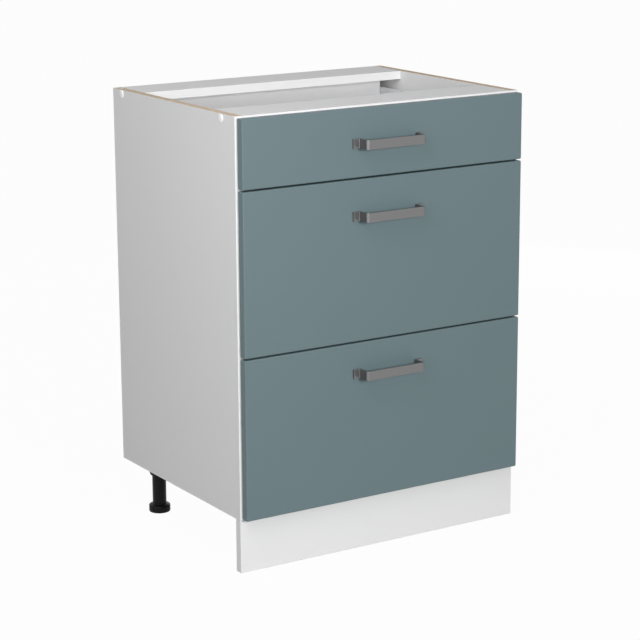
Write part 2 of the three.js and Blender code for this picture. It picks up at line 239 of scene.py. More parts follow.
# %% [markdown]
# ### Raw chipboard and raw hardboard
#
# Edges that a worktop or a wall covers are left raw. Chipboard is pressed wood chips: coarse and pale
# in its middle, finer towards both faces. Voronoi cells stretched along the board look like the
# chips; each cell's own random colour goes through a ramp of wood tones. The back of the back panel is
# raw hardboard, a brown felt of fine fibres.

# %% Raw wood boards


def raw_chipboard(name):
    finish = Finish(name, specular_ior_level=0.25)
    along_board = finish.stretched((1, 0.45, 0.45))
    chips = finish.node("TexVoronoi", inputs={"Vector": along_board, "Scale": 620})
    tone = finish.node("SeparateColor", inputs={"Color": chips.outputs["Color"]}).outputs[0]
    dust = finish.noise(2600, detail=2)
    patch = finish.noise(60, detail=2)
    wood = finish.ramp(
        Number(tone) * 0.62 + dust * 0.2 + patch * 0.18,
        (0.05, (0.44, 0.32, 0.21)),
        (0.35, (0.65, 0.50, 0.36)),
        (0.65, (0.78, 0.64, 0.48)),
        (0.95, (0.87, 0.77, 0.62)),
    )
    height = Number(chips.outputs["Distance"]) * 0.5 + dust * 0.5
    relief = finish.bump(height, 0.35, 0.0004)
    return finish.feed(base_color=wood, roughness=0.75 + dust * 0.2, normal=relief)


def raw_hardboard(name):
    finish = Finish(name, specular_ior_level=0.3)
    fibres = finish.noise(900, detail=4, roughness=0.65, stretch=(1, 1, 0.35))
    patch = finish.noise(9, detail=3)
    wood = finish.ramp(
        fibres * 0.8 + patch * 0.2,
        (0.2, (0.2, 0.108, 0.054)),
        (0.5, (0.34, 0.2, 0.108)),
        (0.85, (0.46, 0.3, 0.175)),
    )
    relief = finish.bump(fibres, 0.25, 0.0003)
    return finish.feed(base_color=wood, roughness=0.55 + fibres * 0.25, normal=relief)


chipboard = raw_chipboard("raw_chipboard")
hardboard = raw_hardboard("raw_hardboard")

# %% [markdown]
# ### Matt foil on the fronts
#
# The fronts are fibreboard wrapped in a matt grey-blue foil that runs round the soft edges. Such a
# foil is very even. It has a slight orange peel from the board under it, a fine matt grain, and a
# hardly visible change of tone across the panel.

# %% Front foil


def foil(name, colour):
    finish = Finish(name, specular_ior_level=0.42)
    grain = finish.noise(3200, detail=2)
    peel = finish.noise(170, detail=1)
    drift = finish.noise(3.5, detail=1)
    tint = finish.mixed(drift * 0.75 + grain * 0.25, shaded(colour, 0.965), shaded(colour, 1.025))
    relief = finish.bump(grain * 0.35 + peel * 0.65, 0.1, 0.0002)
    return finish.feed(base_color=tint, roughness=0.47 + grain * 0.14, normal=relief)


front_foil = foil("front_foil_petrol", (0.120, 0.173, 0.186))

# %% [markdown]
# ### Brushed handle metal
#
# The handles are bent from a flat strip that was brushed along its length before bending. The grain
# therefore follows the strip round every bend. Height is the one direction across the strip on all
# its faces, so a noise squeezed in Z and stretched in X and Y gives lines that run with the strip.

# %% Brushed metal


def brushed_metal(name, colour):
    finish = Finish(name, metallic=0.85)
    lines = finish.noise(1, detail=3, roughness=0.6, stretch=(28, 28, 2600))
    broad = finish.noise(1, detail=1, stretch=(9, 9, 420))
    tint = finish.mixed(lines * 0.7 + broad * 0.3, shaded(colour, 0.86), shaded(colour, 1.1))
    relief = finish.bump(lines, 0.12, 0.0001)
    return finish.feed(base_color=tint, roughness=0.25 + lines * 0.17, normal=relief)


handle_metal = brushed_metal("handle_brushed_metal", (0.202, 0.199, 0.2))

# %% [markdown]
# ### Coated steel, zinc and plastics
#
# Drawer sides and runners are steel with a baked powder coat, which dries to a slight orange peel.
# Screws are bright zinc. Rollers are nylon, a warm white that shines a little where it runs. The feet
# and clips are moulded in black with a fine spark texture, and the cover caps in smooth white.

# %% Steel, zinc and plastics


def powder_coat(name, colour):
    finish = Finish(name, specular_ior_level=0.5)
    peel = finish.noise(650, detail=2)
    fleck = finish.noise(4000, detail=1)
    tint = finish.mixed(fleck, shaded(colour, 0.97), colour)
    relief = finish.bump(peel, 0.12, 0.0002)
    return finish.feed(base_color=tint, roughness=0.34 + peel * 0.12, normal=relief)


def zinc(name):
    finish = Finish(name, metallic=1.0)
    crystals = finish.node("TexVoronoi", inputs={"Vector": finish.place, "Scale": 1800})
    tone = Number(crystals.outputs["Distance"])
    tint = finish.mixed(tone, (0.5, 0.51, 0.53), (0.68, 0.69, 0.7))
    return finish.feed(base_color=tint, roughness=0.28 + tone * 0.2)


def moulded(name, colour, gloss, texture, shine=0.5):
    finish = Finish(name, specular_ior_level=shine)
    spark = finish.noise(2200, detail=3)
    flow = finish.noise(40, detail=1)
    tint = finish.mixed(spark * 0.5 + flow * 0.5, shaded(colour, 0.93), shaded(colour, 1.05))
    relief = finish.bump(spark, texture, 0.0002)
    return finish.feed(base_color=tint, roughness=gloss + spark * 0.1, normal=relief)


drawer_steel = powder_coat("drawer_powder_coat", (0.78, 0.79, 0.80))
runner_steel = powder_coat("runner_powder_coat", (0.76, 0.77, 0.775))
screw_zinc = zinc("zinc_screws")
roller_nylon = moulded("roller_nylon", (0.78, 0.77, 0.74), 0.3, 0.05)
cap_plastic = moulded("cap_white_plastic", (0.95, 0.95, 0.95), 0.2, 0.02)
foot_plastic = moulded("foot_black_plastic", (0.006, 0.006, 0.0062), 0.4, 0.1, shine=0.14)
clip_plastic = moulded("clip_black_plastic", (0.014, 0.014, 0.014), 0.36, 0.15, shine=0.3)
print(len(bpy.data.materials), "materials")

# %% [markdown]
# ## Selecting in code
#
# The modelling operators work on what is selected, as they do by hand. Small helpers replace the
# mouse: one makes a single object active, one enters edit mode with the vertices, edges or faces that
# pass a test, and one leaves it again. Everything else is deselected first, because the CAD nodes are
# still selected after loading. Rounding the edges that pass a test is needed so often that it has a
# helper of its own.

# %% Selection helpers


def make_active(obj):
    bpy.ops.object.select_all(action="DESELECT")
    obj.select_set(True)
    bpy.context.view_layer.objects.active = obj


def edit_where(obj, kind, test):
    """Edit mode on obj, with only the items of that kind selected that pass the test."""
    make_active(obj)
    bpy.ops.object.mode_set(mode="EDIT")
    bpy.ops.mesh.select_mode(type=kind)
    bpy.ops.mesh.select_all(action="DESELECT")
    bpy.ops.object.mode_set(mode="OBJECT")
    items = {"VERT": obj.data.vertices, "EDGE": obj.data.edges, "FACE": obj.data.polygons}[kind]
    for item in items:
        item.select = bool(test(item))
    bpy.ops.object.mode_set(mode="EDIT")


def edit_all(obj):
    edit_where(obj, "FACE", lambda face: True)


def leave_edit():
    bpy.ops.object.mode_set(mode="OBJECT")


def ends(obj, edge):
    return [obj.data.vertices[i].co for i in edge.vertices]


def bevel_where(obj, test, offset, segments):
    edit_where(obj, "EDGE", test)
    bpy.ops.mesh.bevel(offset=offset, segments=segments, affect="EDGES")
    leave_edit()


def apply_place(obj):
    """Moves the object's place, turn and scale into its mesh."""
    make_active(obj)
    bpy.ops.object.transform_apply(location=True, rotation=True, scale=True)


# %% [markdown]
# ## Finishing a shape
#
# A real edge is never perfectly sharp, and the tiny radius is what catches the light. The Bevel
# modifier rounds every edge that turns by more than 30 degrees. Smooth shading alone would then bend
# the light across the large flat faces, so a Weighted Normal modifier lets each vertex follow its
# largest face. Both are applied, so the finished mesh is what is kept. Turned pieces have no large
# flat faces, so smooth shading up to an angle is enough for them.

# %% Modifiers and eased edges


def apply_modifier(obj, kind, **settings):
    make_active(obj)
    bpy.ops.object.modifier_add(type=kind)
    modifier = obj.modifiers[-1]
    for name, value in settings.items():
        setattr(modifier, name, value)
    bpy.ops.object.modifier_apply(modifier=modifier.name)


def smooth(obj):
    make_active(obj)
    bpy.ops.object.shade_smooth()
    apply_modifier(obj, "WEIGHTED_NORMAL", mode="FACE_AREA", weight=80, keep_sharp=True)
    return obj


def ease_edges(obj, radius, segments=3):
    turn = math.radians(30)
    apply_modifier(obj, "BEVEL", width=radius, segments=segments, limit_method="ANGLE", angle_limit=turn)
    return smooth(obj)


def smooth_by_angle(obj, degrees=35):
    make_active(obj)
    bpy.ops.object.shade_smooth_by_angle(angle=math.radians(degrees))
    return obj


# %% [markdown]
# ## From a shape to a piece
#
# A piece needs three things: its finish, the body that it moves with, and the CAD node that it stands
# for, which is hidden. Some boards show two finishes, such as white faces and a raw edge. The extra
# finish goes on the faces that pass a test.

# %% Register a piece


def give_finish(obj, material, test=None):
    """The material on all faces, or as one more slot on the faces that pass the test."""
    obj.data.materials.append(material)
    index = len(obj.data.materials) - 1
    for face in obj.data.polygons:
        if test is None or test(face):
            face.material_index = index
    return obj


def register(obj, slot, *nodes, body=None):
    apply_place(obj)
    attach(obj, body or BODY_OF[nodes[0]])
    if nodes:
        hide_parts(*nodes)
    return obj


# %% [markdown]
# ## Starting shapes
#
# Most boards start as a cube scaled to the board's two corners. Round pieces and bent sheet start as
# a line drawn point by point: a plane is merged to one vertex, which is then extruded along the
# profile. Spinning the line gives a turned piece. Extruding it sideways, rounding the folds and
# giving it a thickness makes sheet metal the way a press brake does.

# %% Cube, drawn line, turned piece and folded sheet


def cube(name, low, high):
    size = [b - a for a, b in zip(low, high)]
    middle = [(a + b) / 2 for a, b in zip(low, high)]
    bpy.ops.object.select_all(action="DESELECT")
    bpy.ops.mesh.primitive_cube_add(size=1, location=middle, scale=size)
    obj = bpy.context.object
    obj.name = name
    apply_place(obj)
    return obj


def drawn_line(name, points):
    """A chain of edges through the points, left in edit mode."""
    bpy.ops.object.select_all(action="DESELECT")
    bpy.ops.mesh.primitive_plane_add(size=MM, location=points[0])
    obj = bpy.context.object
    obj.name = name
    apply_place(obj)
    bpy.ops.object.mode_set(mode="EDIT")
    bpy.ops.mesh.select_mode(type="VERT")
    bpy.ops.mesh.select_all(action="SELECT")
    bpy.ops.mesh.merge(type="CENTER")
    for start, end in zip(points, points[1:]):
        step = Vector(end) - Vector(start)
        bpy.ops.mesh.extrude_vertices_move(TRANSFORM_OT_translate={"value": step})
    return obj


def close_up():
    """Merges doubles and turns the faces outwards, in edit mode."""
    bpy.ops.mesh.select_all(action="SELECT")
    bpy.ops.mesh.remove_doubles(threshold=0.002 * MM)
    bpy.ops.mesh.normals_make_consistent(inside=False)
    leave_edit()


def turned(name, profile, centre, axis, steps):
    """A profile of (radius, height) in mm, spun about the axis through the centre."""
    axis = Vector(axis)
    out = Vector((0, 0, 1)) if abs(axis.z) < 0.5 else Vector((1, 0, 0))
    points = [Vector(centre) + (out * radius + axis * height) * MM for radius, height in profile]
    obj = drawn_line(name, points)
    bpy.ops.mesh.select_all(action="SELECT")
    bpy.ops.mesh.spin(steps=steps, angle=2 * math.pi, center=centre, axis=axis)
    close_up()
    return obj


def folded_sheet(name, points, run, thickness, fold, folds):
    """Sheet whose middle follows the points, drawn out along run, with rounded folds."""
    obj = drawn_line(name, points)
    bpy.ops.mesh.select_all(action="SELECT")
    bpy.ops.mesh.extrude_region_move(TRANSFORM_OT_translate={"value": run})
    leave_edit()
    corners = [Vector(p) for p in points[1:-1]]
    direction = Vector(run).normalized()

    def is_fold(edge):
        a, b = ends(obj, edge)
        along = abs((b - a).normalized().dot(direction)) > 0.99
        return along and any(min((a - c).length, (b - c).length) < 0.01 * MM for c in corners)

    bevel_where(obj, is_fold, fold, folds)
    apply_modifier(obj, "SOLIDIFY", thickness=thickness, offset=0, use_even_offset=True)
    edit_all(obj)
    close_up()
    return obj


# %% [markdown]
# ## Copies
#
# What repeats is modelled once. A copy has its own mesh, is shifted or mirrored, and has that place
# applied to its mesh. A mirrored copy has turned inside out, so its normals are recalculated. A copy
# that is turned as well takes a matrix, which turns it first and then moves it.

# %% Copying and joining


def copy_of(obj, name, shift=(0, 0, 0), mirror=False):
    make_active(obj)
    bpy.ops.object.duplicate(linked=False)
    twin = bpy.context.object
    twin.name = name
    twin.location = shift
    twin.scale = (-1 if mirror else 1, 1, 1)
    apply_place(twin)
    if mirror:
        edit_all(twin)
        bpy.ops.mesh.normals_make_consistent(inside=False)
        leave_edit()
    return twin


def placed_copy(obj, place, turn):
    twin = copy_of(obj, obj.name)
    twin.matrix_world = Matrix.Translation(place) @ turn
    apply_place(twin)
    return twin


def joined(name, *parts):
    make_active(parts[0])
    for obj in parts[1:]:
        obj.select_set(True)
    bpy.ops.object.join()
    parts[0].name = name
    return parts[0]


# %% [markdown]
# ## The side panels
#
# A side panel is a 16 mm board, 450 mm deep, with a groove for the back panel. Cutting the groove
# with a saw is a Boolean in Blender, but it is cleaner to draw the board's outline with the notch in
# it: a plane the size of the board's lower end is cut along the groove's three sides, the notch is
# deleted, and the rest is extruded to the full height. A last cut near the front edge parts the
# edge band from the board.

# %% Model the side panels
back_low, back_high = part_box("back_panel")
edge_band = 0.8 * MM
board_edge = 0.4 * MM
groove_play = 0.3 * MM


def part_band(obj, front):
    """A cut just behind the front edge, where the edge band meets the board's faces."""
    edit_all(obj)
    bpy.ops.mesh.bisect(plane_co=(0, front + edge_band, 0), plane_no=(0, 1, 0))
    leave_edit()


def side_panel(side, sign):
    low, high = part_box(f"side_panel_{side}")
    size = high - low
    bpy.ops.object.select_all(action="DESELECT")
    middle = ((low.x + high.x) / 2, (low.y + high.y) / 2, low.z)
    bpy.ops.mesh.primitive_plane_add(size=1, location=middle)
    obj = bpy.context.object
    obj.name = f"side_board_{side}"
    obj.scale = (size.x, size.y, 1)
    apply_place(obj)
    groove_x = (back_high.x + groove_play) * sign
    cuts = [
        ((groove_x, 0, 0), (1, 0, 0)),
        ((0, back_low.y - groove_play, 0), (0, 1, 0)),
        ((0, back_high.y + groove_play, 0), (0, 1, 0)),
    ]
    for place, normal in cuts:
        edit_all(obj)
        bpy.ops.mesh.bisect(plane_co=place, plane_no=normal)
        leave_edit()
    inner = min(abs(low.x), abs(high.x))

    def in_groove(face):
        across = inner < abs(face.center.x) < abs(groove_x)
        return across and abs(face.center.y - (back_low.y + back_high.y) / 2) < groove_play

    edit_where(obj, "FACE", in_groove)
    bpy.ops.mesh.delete(type="FACE")
    bpy.ops.mesh.select_all(action="SELECT")
    bpy.ops.mesh.dissolve_limited(angle_limit=math.radians(1))
    bpy.ops.mesh.select_all(action="SELECT")
    bpy.ops.mesh.extrude_region_move(TRANSFORM_OT_translate={"value": (0, 0, size.z)})
    close_up()
    part_band(obj, low.y)
    ease_edges(obj, board_edge)

    def is_raw(face):
        at_rear = face.normal.y > 0.8 and face.center.y > high.y - MM
        return abs(face.normal.z) > 0.8 or at_rear

    give_finish(obj, carcass_white)
    give_finish(obj, chipboard, is_raw)
    give_finish(obj, edge_white, lambda f: f.center.y < low.y + edge_band and f.normal.z < 0.8)
    return register(obj, "carcass_board", f"side_panel_{side}")


for side, sign in SIDES.items():
    board = side_panel(side, sign)
    print(board.name, len(board.data.polygons), "faces")

# %% [markdown]
# ## Bottom, rails and back
#
# The bottom panel and the two top rails are plain boards with a banded front edge. Their rear edges
# are raw. The back is a thin sheet of hardboard, lacquered white on the side that is seen when a
# drawer is pulled out.

# %% Model the boards between the sides


def banded_board(name, node, slot):
    low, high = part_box(node)
    obj = cube(name, low, high)
    part_band(obj, low.y)
    ease_edges(obj, board_edge)
    give_finish(obj, carcass_white)
    give_finish(obj, chipboard, lambda f: f.normal.y > 0.8 or abs(f.normal.x) > 0.8)
    give_finish(obj, edge_white, lambda f: f.center.y < low.y + edge_band and abs(f.normal.x) < 0.8)
    return register(obj, slot, node)


banded_board("bottom_board", "bottom_panel", "carcass_board")
banded_board("rail_board_front", "top_rail_front", "carcass_board")
banded_board("rail_board_rear", "top_rail_rear", "carcass_board")

back = ease_edges(cube("back_sheet", back_low, back_high), 0.3 * MM, segments=2)
give_finish(back, carcass_white)
give_finish(back, hardboard, lambda f: f.normal.y > -0.3)
register(back, "back_board", "back_panel")
print("boards done")

# %% [markdown]
# ## Cover caps
#
# A screw through the side panel holds each end of a rail, and a white cap is pressed over it. A cap
# is a turned piece: a short rim on the panel and a shallow dome. Its profile is drawn in the plane
# of the axis and spun once round, for the left side. The caps on the right are mirrored.

# %% Model one cap and copy it
cap_profile = [(0, -2), (4.6, -2), (4.6, 0.35), (7.6, 0.35), (7.9, 0.5), (8, 0.9), (7.85, 1.35), (7.4, 1.75)]
cap_profile += [(6.6, 2.1), (5.4, 2.37), (3.8, 2.55), (2, 2.65), (0, 2.68)]
cap_master = smooth_by_angle(turned("cap", cap_profile, (0, 0, 0), (-1, 0, 0), steps=32))
give_finish(cap_master, cap_plastic)


def middle_of(node):
    low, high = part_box(node)
    return (low + high) / 2


for side, sign in SIDES.items():
    for place in ("front", "rear"):
        node = f"cover_cap_{side}_{place}"
        spot = middle_of(node)
        spot.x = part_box(f"side_panel_{side}")[1 if sign > 0 else 0].x
        cap = copy_of(cap_master, f"cap_{side}_{place}", spot, mirror=sign > 0)
        register(cap, "cap_plastic", node)
bpy.data.objects.remove(cap_master)
print("caps done")

# %% [markdown]
# ## Feet
#
# Each foot has a socket screwed under the carcass and a leg that is turned up or down in it. Both are
# mouldings. The leg is a spun profile: a round pad with a grip ring at the floor, a short neck and
# the column. Pulling in every fourth face round the pad's rim makes the grip. The socket has small
# ribs from its plate to its collar, each a thin cube with one edge moved in to form a wedge.

# %% Model one leg
foot_centres = {}
for row in ("front", "rear"):
    for side in SIDES:
        centre = middle_of(f"foot_leg_{row}_{side}")
        foot_centres[f"{row}_{side}"] = Vector((centre.x, centre.y, 0))
leg_low, leg_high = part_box("foot_leg_front_left")
pad_radius = (leg_high.x - leg_low.x) / 2 / MM
leg_top = leg_high.z / MM
leg_radius = 13.25
pad_height = 15.5
grip_low, grip_high = 1.8, pad_height - 3.2
round_steps = 64


def model_leg(centre):
    profile = [
        (0, 0),
        (pad_radius - 2.2, 0),
        (pad_radius - 0.6, 0.5),
        (pad_radius, grip_low),
        (pad_radius, grip_high),
        (pad_radius - 0.5, pad_height - 1.9),
        (pad_radius - 1.9, pad_height - 1.1),
        (leg_radius + 2.2, pad_height - 0.3),
        (leg_radius + 0.2, pad_height + 0.6),
        (leg_radius - 0.1, pad_height + 2.2),
        (leg_radius - 0.1, pad_height + 3),
        (leg_radius, pad_height + 3.4),
        (leg_radius, leg_top - 0.8),
        (leg_radius - 0.8, leg_top),
        (0, leg_top),
    ]
    leg = turned("leg", profile, centre, (0, 0, 1), steps=round_steps)

    def in_notch(face):
        radial = (face.center - Vector(centre)) / MM
        turn = math.atan2(radial.y, radial.x) % (2 * math.pi)
        step = int(turn / (2 * math.pi) * round_steps + 0.01)
        on_rim = grip_low < radial.z < grip_high and radial.xy.length > pad_radius - 1
        return on_rim and step % 4 == 0

    edit_where(leg, "FACE", in_notch)
    bpy.ops.mesh.inset(thickness=0.15 * MM, depth=-0.55 * MM, use_individual=True)
    leave_edit()
    return give_finish(smooth_by_angle(leg, 32), foot_plastic)


first_foot = foot_centres["front_left"]
leg_master = model_leg(first_foot)
print("leg", len(leg_master.data.polygons), "faces")

# %% [markdown]
# The socket's bore is wider than the leg by a seat gap, which is the play left between pieces that
# sit in or on one another. Its collar has a chamfered mouth.

# %% Model one socket
socket_low, socket_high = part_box("foot_socket_front_left")
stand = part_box("side_panel_left")[0].z / MM
seat_gap = 0.3
socket_wall = 3.4
socket_bore = leg_radius + seat_gap
socket_collar = socket_bore + socket_wall
socket_plate = (socket_high.x - socket_low.x) / 2 / MM


def model_socket(centre):
    length = stand - socket_low.z / MM
    profile = [
        (socket_bore, -seat_gap),
        (socket_bore, -length + 0.6),
        (socket_bore + 0.6, -length),
        (socket_collar - 0.8, -length),
        (socket_collar, -length + 0.8),
        (socket_collar, -5.5),
        (socket_collar + 1.2, -4),
        (socket_plate - 1.2, -4),
        (socket_plate, -2.8),
        (socket_plate, -seat_gap),
        (socket_bore, -seat_gap),
    ]
    top = Vector(centre) + Vector((0, 0, stand * MM))
    parts = [turned("socket", profile, top, (0, 0, 1), steps=round_steps)]
    inset = 3 * MM
    inner_x, outer_x = socket_collar * MM, socket_plate * MM - inset
    rib = cube("rib", (inner_x - 0.5 * MM, -0.9 * MM, -22 * MM), (outer_x, 0.9 * MM, -3.5 * MM))
    edit_where(rib, "VERT", lambda v: v.co.x > inner_x + inset and v.co.z < -10 * MM)
    bpy.ops.transform.translate(value=(inner_x - outer_x, 0, 0))
    leave_edit()
    ease_edges(rib, 0.35 * MM, segments=2)
    for angle in range(30, 360, 60):
        parts.append(placed_copy(rib, top, Matrix.Rotation(math.radians(angle), 4, "Z")))
    bpy.data.objects.remove(rib)
    socket = smooth_by_angle(joined("socket", *parts), 32)
    return give_finish(socket, foot_plastic)


socket_master = model_socket(first_foot)
print("socket", len(socket_master.data.polygons), "faces")

# %% Copy the feet to their places
for place, centre in foot_centres.items():
    shift = centre - first_foot
    leg = copy_of(leg_master, f"leg_{place}", shift)
    register(leg, "foot_plastic", f"foot_leg_{place}")
    socket = copy_of(socket_master, f"socket_{place}", shift)
    register(socket, "foot_plastic", f"foot_socket_{place}")
for master in (leg_master, socket_master):
    bpy.data.objects.remove(master)
print("feet done")

# %% [markdown]
# ## The plinth board and its clips
#
# The plinth is a loose board in front of the feet. Two clips behind it snap round the front legs, so
# it pulls off by hand. Its faces are melamine, and all its narrow edges are banded. A clip is a
# bevelled plate with a fork behind it. The fork's mouth is cut with two Boolean modifiers, as a round
# hole and a slot would be drilled and sawn.

# %% Model the plinth
plinth_low, plinth_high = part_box("plinth_board")
plinth = ease_edges(cube("plinth_face_board", plinth_low, plinth_high), 0.7 * MM)
give_finish(plinth, plinth_white)
give_finish(plinth, edge_white, lambda f: abs(f.normal.y) < 0.7)
register(plinth, "plinth_board", "plinth_board")

# %% Model the clips
clip_arm = 3.2


def cut_with(obj, tool):
    apply_modifier(obj, "BOOLEAN", operation="DIFFERENCE", solver="EXACT", object=tool)
    bpy.data.objects.remove(tool)


def model_clip(side):
    low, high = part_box(f"plinth_clip_{side}")
    centre = foot_centres[f"front_{side}"]
    plate_back = low.y + 3 * MM
    plate = cube("clip_plate", low, (high.x, plate_back, high.z))
    ease_edges(plate, 0.9 * MM)
    middle = (low.z + high.z) / 2
    mouth = (leg_radius + seat_gap) * MM
    arm = (leg_radius + seat_gap + clip_arm) * MM
    fork_low = (centre.x - arm, plate_back - 1.5 * MM, middle - 6 * MM)
    fork = cube("clip_fork", fork_low, (centre.x + arm, high.y, middle + 6 * MM))
    spot = (centre.x, centre.y, middle)
    bpy.ops.mesh.primitive_cylinder_add(vertices=48, radius=mouth, depth=30 * MM, location=spot)
    cut_with(fork, bpy.context.object)
    slot_low = (centre.x - mouth, centre.y, middle - 15 * MM)
    slot_high = (centre.x + mouth, high.y + 5 * MM, middle + 15 * MM)
    cut_with(fork, cube("slot", slot_low, slot_high))
    ease_edges(fork, 0.5 * MM, segments=2)
    ribs = []
    for sign in (-1, 1):
        x = centre.x + sign * (arm - 1.2 * MM)
        rib_low = (x - 1.1 * MM, plate_back - MM, low.z + 3 * MM)
        rib_high = (x + 1.1 * MM, plate_back + 4 * MM, high.z - 3 * MM)
        ribs.append(ease_edges(cube("clip_rib", rib_low, rib_high), 0.4 * MM, segments=2))
    return give_finish(joined(f"clip_{side}", plate, fork, *ribs), clip_plastic)


for side in SIDES:
    register(model_clip(side), "clip_plastic", f"plinth_clip_{side}")
print("plinth and clips done")

# %% [markdown]
# ## Drawer fronts
#
# Each front is a fibreboard panel milled with a soft edge all round its face and small round corners,
# and then wrapped in foil. By hand that is two bevels: first the four corner edges that run front to
# back, then the whole rim of the face. A third, small one eases the rim of the rear side, which is
# plain white, as it is on bought fronts.

# %% Model the fronts
corner_radius = 2.5 * MM
soft_edge = 2 * MM
rear_edge = 0.5 * MM


def drawer_front(i):
    low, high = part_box(f"drawer_front_{i}")
    obj = cube(f"front_panel_{i}", low, high)

    def runs_back(edge):
        a, b = ends(obj, edge)
        return abs(a.y - b.y) > 10 * MM

    def in_plane(y):
        return lambda edge: all(abs(end.y - y) < 0.01 * MM for end in ends(obj, edge))

    bevel_where(obj, runs_back, corner_radius, segments=5)
    bevel_where(obj, in_plane(low.y), soft_edge, segments=5)
    bevel_where(obj, in_plane(high.y), rear_edge, segments=2)
    smooth(obj)
    give_finish(obj, front_foil)
    give_finish(obj, drawer_white, lambda f: f.normal.y > 0.9)
    return register(obj, "front_foil", f"drawer_front_{i}")


for i in DRAWERS:
    panel = drawer_front(i)
    print(panel.name, [round(v / MM, 1) for v in panel.dimensions])

# %% [markdown]
# ## Handles
#
# A handle is one flat strip, 17 by 4 mm, bent four times: a foot flat on the front, a stem, the grip,
# and the same back again. Drawing the strip's middle line, drawing it out over its width and rounding
# the folds is how it is made, and it keeps the thickness even round the bends.

# %% Model one handle and copy it
strip = 4 * MM
handle_foot = 14 * MM
bend_radius = 2.8 * MM


def handle_strip(i):
    low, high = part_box(f"handle_{i}")
    stem = (high.x - low.x) / 2 - handle_foot
    foot_y, grip_y = high.y - strip / 2, low.y + strip / 2
    left = [(low.x, foot_y), (-stem, foot_y), (-stem, grip_y)]
    right = [(stem, grip_y), (stem, foot_y), (high.x, foot_y)]
    points = [(x, y, low.z) for x, y in left + right]
    width = (0, 0, high.z - low.z)
    obj = folded_sheet(f"handle_strip_{i}", points, width, strip, bend_radius, folds=6)
    ease_edges(obj, 0.45 * MM)
    return give_finish(obj, handle_metal)


first_handle = handle_strip(1)
height_of_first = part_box("handle_1")[0].z
for i in (2, 3):
    shift = (0, 0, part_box(f"handle_{i}")[0].z - height_of_first)
    register(copy_of(first_handle, f"handle_strip_{i}", shift), "handle_metal", f"handle_{i}")
register(first_handle, "handle_metal", "handle_1")
print("handle", len(first_handle.data.polygons), "faces")

# %% [markdown]
# ## Drawer bottoms and backs
#
# The drawer boards are white on every side, also on their edges, so they are plain eased boards.

# %% Model the drawer boards
for i in DRAWERS:
    for kind in ("bottom", "back"):
        node = f"drawer_{kind}_{i}"
        board = ease_edges(cube(f"drawer_{kind}_board_{i}", *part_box(node)), 0.6 * MM)
        give_finish(board, drawer_white)
        register(board, "drawer_board", node)
print("drawer boards done")

# %% [markdown]
# ## Runners and drawer sides
#
# These are folded from 1.5 mm steel, so they use the folded sheet. A runner is a channel that opens
# towards the drawer, with a flat tongue in front that carries the front roller's pin. A drawer side
# has a flange under the bottom board, a wall, and a rim that turns outwards and down. A second fold
# on the outside is the track that glides on the front roller. Distances are measured inward from the
# side panel's inner face, because that is how runners are planned.

# %% Where runners and drawer sides stand
inner_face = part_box("side_panel_right")[0].x
sheet = 1.5
runner_space = 12.5
runner_rise = 20
roller_radius = 10.5
roller_headroom = 1
channel_height = 2 * roller_radius + seat_gap + roller_headroom + 2 * sheet
pin_side_gap = 0.4
drawer_base = {i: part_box(f"drawer_side_{i}_left")[0].z for i in DRAWERS}


def left_x(distance):
    return -(inner_face - distance * MM)


def ease_sheet(obj):
    return ease_edges(obj, 0.25 * MM, segments=2)


def pin(name, root, head, roller):
    """A riveted pin along X for a roller, from its root in the sheet to its head."""
    out = 1 if head > root else -1
    length = abs(head - root)
    profile = [(0, 0), (3, 0), (3, length), (4.6, length)]
    profile += [(5, length + 0.3), (4.4, length + 0.7), (0, length + 0.8)]
    centre = middle_of(roller)
    centre.x = left_x(root)
    return smooth_by_angle(turned(name, profile, centre, (out, 0, 0), steps=24))


# %% Model one runner, on the left at the lowest drawer
front_edge_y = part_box("side_panel_left")[0].y
front_roller_inset = 22
channel_front_gap = 3.5
channel_reach = 11


def model_runner(i):
    low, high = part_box(f"cabinet_runner_{i}_left")
    base = drawer_base[i] + runner_rise * MM
    channel_front = front_edge_y + (front_roller_inset + roller_radius + channel_front_gap) * MM
    web = seat_gap + sheet / 2
    rise = channel_height * MM
    half = sheet / 2 * MM
    points = [
        (left_x(channel_reach), channel_front, base + half),
        (left_x(web), channel_front, base + half),
        (left_x(web), channel_front, base + rise - half),
        (left_x(channel_reach), channel_front, base + rise - half),
    ]
    run = (0, high.y - channel_front, 0)
    channel = ease_sheet(folded_sheet("channel", points, run, sheet * MM, 1.2 * MM, folds=3))
    tongue_high = (left_x(seat_gap + sheet), channel_front + 2 * MM, base + rise)
    tongue = cube("tongue", (left_x(seat_gap), low.y, base), tongue_high)

    def front_corner(edge):
        a, b = ends(tongue, edge)
        return abs(a.x - b.x) > MM and a.y < low.y + MM

    bevel_where(tongue, front_corner, 5 * MM, segments=5)
    ease_sheet(tongue)
    roller = f"front_roller_{i}_left"
    head = (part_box(roller)[1].x - left_x(0)) / MM + pin_side_gap
    front_pin = pin("front_pin", web, head, roller)
    return give_finish(joined("runner", channel, tongue, front_pin), runner_steel)


runner_master = model_runner(3)
print("runner", len(runner_master.data.polygons), "faces")

# %% [markdown]
# The two deep drawers have the same sides, so a side is modelled once for each height. The track is
# welded on, so its sheet bites a little into the wall. The lugs at the ends are small plates that the
# front and the back board are screwed to.

# %% Model a drawer side
flange_reach = 30
rim_reach = 9.5
rim_lip = 8
glide_reach = 9
glide_clearance = 0.7
weld = 0.05
lug_start, lug_end = runner_space + 0.1, 28
lug_rise, lug_drop = 22, 10


